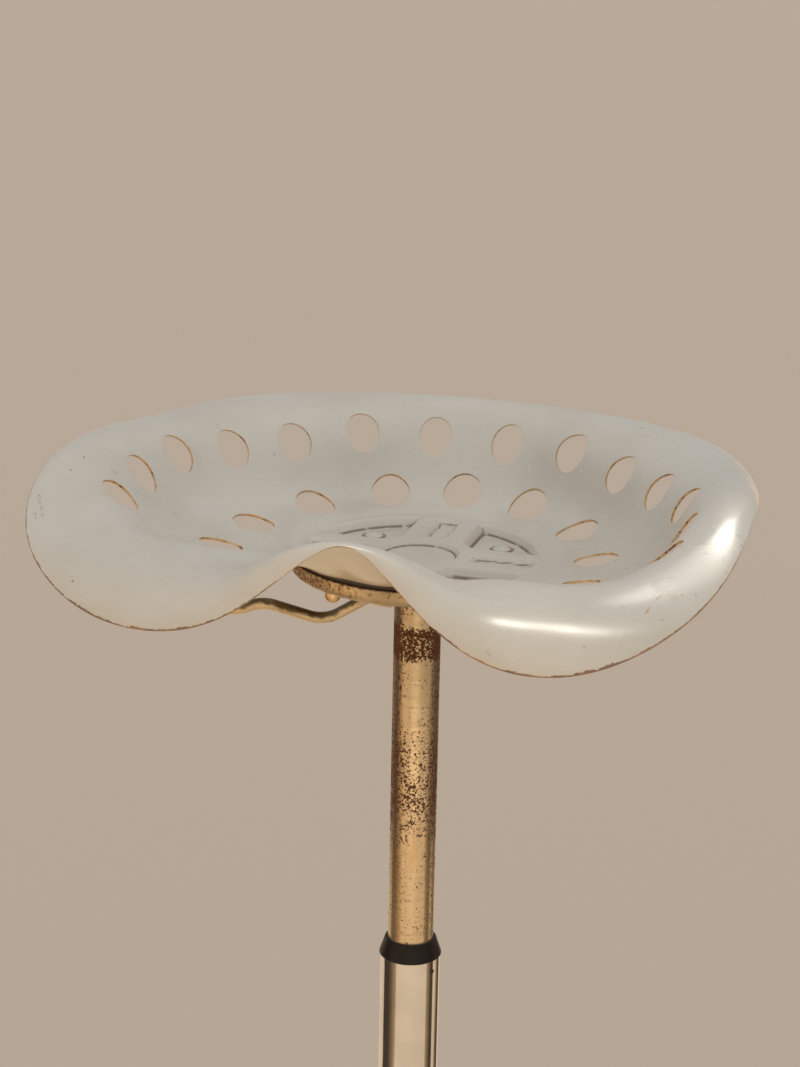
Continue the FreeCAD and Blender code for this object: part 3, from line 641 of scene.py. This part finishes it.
def makePostFinish():
    finish, tree, shader = newFinish("rustyPostChrome")
    place = objectPlace(tree)
    height = splitUp(tree, place)["Z"]
    fine = noiseAt(tree, place, 620, 5, 0.66)
    clusters = noiseAt(tree, place, 110, 4)
    streaks = noiseAt(tree, place, 120, 5, 0.6, (1, 1, 7))
    brushed = noiseAt(tree, place, 300, 3, 0.6, (6, 6, 0.6))
    unevenness = reckon(tree, "SUBTRACT", clusters, 0.5)
    waved = summed(tree, height, scaled(tree, unevenness, post["waver"]))
    band = scaled(tree, between(tree, waved, *post["bandFoot"]), between(tree, waved, *post["bandTop"]))
    spots = scaled(tree, between(tree, waved, *post["spotFoot"]), between(tree, waved, *post["spotTop"]))
    under = between(tree, waved, *post["aboveBand"])
    # dark brown and less metallic on the sides and back of the tube, away from a spot at its front
    fromFront = lengthOf(tree, moved(tree, place, post["frontSpot"], (0, 0, 0), post["frontSize"]))
    ragged = summed(tree, fromFront, scaled(tree, reckon(tree, "SUBTRACT", fine, 0.5), 0.5))
    sideBrown = scaled(tree, between(tree, ragged, *post["sideBrownStart"]), between(tree, height, *post["sideBrownHeights"]))
    amount = summed(tree, scaled(tree, band, post["bandRust"]), scaled(tree, spots, post["spotRust"]),
                    scaled(tree, unevenness, post["clusterRust"]), under, scaled(tree, sideBrown, post["sideBrownRust"]))
    rust = between(tree, summed(tree, fine, amount), *post["rustLimits"])
    darker = tuple(c * 0.86 for c in post["chrome"])
    colour = mixed(tree, between(tree, brushed, 0.35, 0.7), post["chrome"], darker)
    colour = mixed(tree, scaled(tree, between(tree, streaks, 0.5, 0.72), 0.4), colour, post["stain"])
    colour = mixed(tree, between(tree, height, *post["creamHeights"], 0, 0.6), colour, post["cream"])
    colour = mixed(tree, scaled(tree, sideBrown, 0.9), colour, post["sideBrown"])
    feed(tree, shader.inputs["Base Color"], mixed(tree, rust, colour, post["rust"]))
    bright = between(tree, height, *post["creamHeights"], 0.92, 0.55)
    bright = reckon(tree, "SUBTRACT", bright, scaled(tree, sideBrown, 0.5))
    feed(tree, shader.inputs["Metallic"], scaled(tree, bright, between(tree, rust, 0, 1, 1, 0)))
    dulled = summed(tree, between(tree, brushed, 0.3, 0.7, 0.20, 0.30),
                    between(tree, height, 0.58, 0.68, 0, 0.16))
    feed(tree, shader.inputs["Roughness"], summed(tree, dulled, scaled(tree, rust, 0.45)))
    bumpFrom(tree, shader, scaled(tree, rust, fine), 0.3, 0.0003)
    return finish


# plain finishes

def makeMetal(name, colour, roughness, spotColour=(0.12, 0.05, 0.02), spotLimit=0.8, upShade=None):
    finish, tree, shader = newFinish(name)
    place = objectPlace(tree)
    spots = between(tree, noiseAt(tree, place, 240, 6, 0.72), spotLimit, spotLimit + 0.05)
    darker = tuple(c * 0.88 for c in colour)
    tone = mixed(tree, between(tree, noiseAt(tree, place, 40, 4), 0.3, 0.7), colour, darker)
    if upShade:  # painted shade: darker in clumps where the surface faces up
        clumps = between(tree, noiseAt(tree, place, 150, 5), 0.3, 0.7, -0.35, 0.35)
        patchy = summed(tree, facingUp(tree), clumps)
        tone = mixed(tree, between(tree, patchy, -0.15, 0.55, 0, 0.85), tone, upShade)
    feed(tree, shader.inputs["Base Color"], mixed(tree, spots, tone, spotColour))
    feed(tree, shader.inputs["Metallic"], between(tree, spots, 0, 1, 1.0, 0.1))
    grain = noiseAt(tree, place, 90, 4)
    smooth = between(tree, grain, 0.3, 0.7, roughness * 0.85, roughness * 1.2)
    feed(tree, shader.inputs["Roughness"], summed(tree, smooth, scaled(tree, spots, 0.5)))
    bumpFrom(tree, shader, reckon(tree, "SUBTRACT", noiseAt(tree, place, 1400, 2), spots), 0.04, 0.0002)
    return finish


def makePlastic(name, colour, roughness, grain=700, depth=0.0002, gloss=1.45):
    finish, tree, shader = newFinish(name)
    place = objectPlace(tree)
    dusty = tuple(c * 1.6 + 0.004 for c in colour)
    feed(tree, shader.inputs["Base Color"], mixed(tree, noiseAt(tree, place, 60, 3), colour, dusty))
    uneven = noiseAt(tree, place, 120, 4)
    feed(tree, shader.inputs["Roughness"], between(tree, uneven, 0.3, 0.7, roughness, roughness + 0.12))
    shader.inputs["IOR"].default_value = gloss
    bumpFrom(tree, shader, noiseAt(tree, place, grain, 3), 0.15, depth)
    return finish


chrome = makeMetal("clearChrome", (0.76, 0.74, 0.71), 0.11, (0.16, 0.09, 0.05), 0.735)
# the lever's dark colour on what faces up is painted shade
leverNickel = makeMetal("leverNickel", (0.66, 0.52, 0.33), 0.30, (0.13, 0.05, 0.02), 0.62,
                        (0.10, 0.07, 0.035))
nutNickel = makeMetal("nutNickel", (0.66, 0.48, 0.27), 0.36, (0.16, 0.06, 0.02), 0.66)
zinc = makeMetal("zincPlate", (0.55, 0.54, 0.50), 0.38, (0.25, 0.2, 0.14), 0.68)
groundSteel = makeMetal("groundSteel", (0.60, 0.60, 0.60), 0.22)
rivetSteel = makePlastic("rivetSteel", (0.030, 0.018, 0.012), 0.45)
alloy = makeMetal("turnedAlloy", (0.72, 0.72, 0.73), 0.30)
castIron = makeMetal("castIron", (0.10, 0.10, 0.105), 0.60, (0.13, 0.06, 0.03), 0.6)
blackNylon = makePlastic("blackNylon", (0.008, 0.005, 0.004), 0.36, gloss=1.3)
blackRubber = makePlastic("blackRubber", (0.022, 0.022, 0.022), 0.75, 400, 0.0003)
gripPlastic = makePlastic("gripPlastic", (0.016, 0.016, 0.017), 0.45, 500, 0.0003)
postChrome = makePostFinish()

nodeFinishes = {
    "seat_bolts": seatEnamel, "seat_washers": zinc, "seat_nuts": nutNickel,
    "seat_post": postChrome, "valve_plug": alloy, "valve_pin": groundSteel, "spring_cylinder": groundSteel,
    "rod_guide": alloy, "rod_seal": blackRubber, "post_end_ring": blackNylon, "piston": alloy,
    "piston_seal": blackRubber, "piston_rod": groundSteel, "upper_race": groundSteel,
    "thrust_balls": groundSteel, "lower_race": groundSteel, "rod_clip": groundSteel, "rod_block": alloy,
    "lever_rod": leverNickel, "lever_grip": gripPlastic, "lever_bracket": leverNickel,
    "lever_pin": groundSteel,
    "guide_bush": blackNylon, "bush_rivets": rivetSteel, "column_tube": chrome, "column_flange": zinc,
    "flange_bolts": zinc, "base_weight": castIron, "base_shell": chrome, "foot_ring": blackRubber,
    "neck_ring": blackNylon, "footrest_sleeve": chrome, "footrest_screws": zinc, "footrest_ring": chrome,
}
for name, finish in nodeFinishes.items():
    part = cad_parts[name]
    part.data.materials.clear()
    part.data.materials.append(finish)
print("nodes dressed")

# floor, flags, light and camera

studio = {
    "seen": (0.22, 0.175, 0.150), "warm": (0.64, 0.45, 0.23), "shone": (0.65, 0.50, 0.33),
    "glow": (0.29, 0.240, 0.188), "sky": (0.80, 0.78, 0.745), "skyStrength": (0.60, 1.04),
    "brightSide": (0.30, -0.26, 0.918), "flag": (0.085, 0.066, 0.052), "flagHeight": 0.62,
}
# foot of each card, from the lighter end to the darker
flags = {
    "leftFlag": ((-0.50, -0.64), (-0.50, 0.10)),
    "rightFlag": ((0.53, -0.06), (0.50, 0.25)),
    "backFlag": ((0.45, 0.42), (0.22, 0.56)),
}
# place, aim, size, power in watts, colour and spread in degrees
lamps = {
    "rimLamp": ((-0.104, 0.671, 1.68), (0.188, -0.078, 0.803), (0.08, 0.08), 0.0038, (1, 0.95, 0.86), 3.5),
    "lobeLamp": ((-0.165, -0.265, 1.80), (0.07, -0.15, 0.77), (0.14, 0.14), 0.0100, (1, 0.94, 0.84), 6),
    "groundLamp": ((0.5, -1.9, 0.25), (0, 0, 0.76), (1.2, 0.7), 4.8, (1, 0.76, 0.48), 180),
    "leftGroundLamp": ((-1.5, -1.2, 0.15), (-0.1, -0.1, 0.76), (1.0, 0.6), 8, (1, 0.62, 0.29), 180),
}


def lightPath(tree, name):
    return tree.nodes.new("ShaderNodeLightPath").outputs[name]


def addPlain(name, bm, finish):
    mesh = bpy.data.meshes.new(name)
    bm.to_mesh(mesh)
    bm.free()
    mesh.materials.append(finish)
    plain = bpy.data.objects.new(name, mesh)
    bpy.context.collection.objects.link(plain)
    return plain


def makeFloor():
    finish, tree, shader = newFinish("paleFloor")
    colour = mixed(tree, lightPath(tree, "Is Camera Ray"), studio["warm"], studio["seen"])
    colour = mixed(tree, lightPath(tree, "Is Glossy Ray"), colour, studio["shone"])
    feed(tree, shader.inputs["Base Color"], colour)
    feed(tree, shader.inputs["Emission Color"], studio["glow"])
    shown = reckon(tree, "MAXIMUM", lightPath(tree, "Is Camera Ray"), lightPath(tree, "Is Glossy Ray"))
    feed(tree, shader.inputs["Emission Strength"], shown)
    shader.inputs["Roughness"].default_value = 0.9
    bm = bmesh.new()
    bmesh.ops.create_grid(bm, x_segments=1, y_segments=1, size=30)
    addPlain("paleFloor", bm, finish)


def addFlag(name, start, end):  # a card that only the bright metal shows, darker to its end
    finish, tree, shader = newFinish(name)
    along = splitUp(tree, objectPlace(tree))["Y"]
    shade = between(tree, along, start[1], start[1] + 0.7 * (end[1] - start[1]))
    feed(tree, shader.inputs["Base Color"], mixed(tree, shade, studio["shone"], studio["flag"]))
    shader.inputs["Roughness"].default_value = 0.8
    bm = bmesh.new()
    foot = [bm.verts.new((x, y, 0.002)) for x, y in (start, end)]
    line = bm.edges.new(foot)
    raised = bmesh.ops.extrude_edge_only(bm, edges=[line])["geom"]
    bmesh.ops.translate(bm, verts=[part for part in raised if isinstance(part, bmesh.types.BMVert)],
                        vec=(0, 0, studio["flagHeight"]))
    flag = addPlain(name, bm, finish)
    flag.visible_camera = False
    flag.visible_diffuse = False
    flag.visible_shadow = False


def makeWorld():  # a soft room, brighter towards one side
    world = bpy.data.worlds.new("softRoom")
    world.use_nodes = True
    tree = world.node_tree
    sky = tree.nodes["Background"]
    sky.inputs["Color"].default_value = studio["sky"] + (1,)
    turned = tree.nodes.new("ShaderNodeVectorMath")
    turned.operation = "DOT_PRODUCT"
    feed(tree, turned.inputs[0], tree.nodes.new("ShaderNodeTexCoord").outputs["Generated"])
    turned.inputs[1].default_value = studio["brightSide"]
    strength = between(tree, turned.outputs["Value"], -0.2, 1.0, *studio["skyStrength"])
    feed(tree, sky.inputs["Strength"], strength)
    bpy.context.scene.world = world


def addLamp(name, place, target, size, power, colour, spread):
    data = bpy.data.lights.new(name, "AREA")
    data.spread = math.radians(spread)
    data.shape = "RECTANGLE"
    data.size, data.size_y = size
    data.energy = power
    data.color = colour
    lamp = bpy.data.objects.new(name, data)
    lamp.location = place
    lamp.rotation_euler = (Vector(target) - Vector(place)).to_track_quat("-Z", "Y").to_euler()
    bpy.context.collection.objects.link(lamp)


photo = {"place": (0.42985, -1.5072, 1.25195), "turn": (72.614, -1.084, 16.674), "focal": 2800,
         "tall": 1067}


def makeCamera():
    data = bpy.data.cameras.new("photoCamera")
    data.sensor_fit = "VERTICAL"
    data.sensor_height = 36
    data.lens = 36 * photo["focal"] / photo["tall"]
    camera = bpy.data.objects.new("photoCamera", data)
    camera.location = photo["place"]
    camera.rotation_euler = Euler([math.radians(angle) for angle in photo["turn"]])
    bpy.context.collection.objects.link(camera)
    bpy.context.scene.camera = camera


makeFloor()
for name, ends in flags.items():
    addFlag(name, *ends)
makeWorld()
makeCamera()
for name, lamp in lamps.items():
    addLamp(name, *lamp)
bpy.context.scene.view_settings.view_transform = "Standard"
print("studio made")
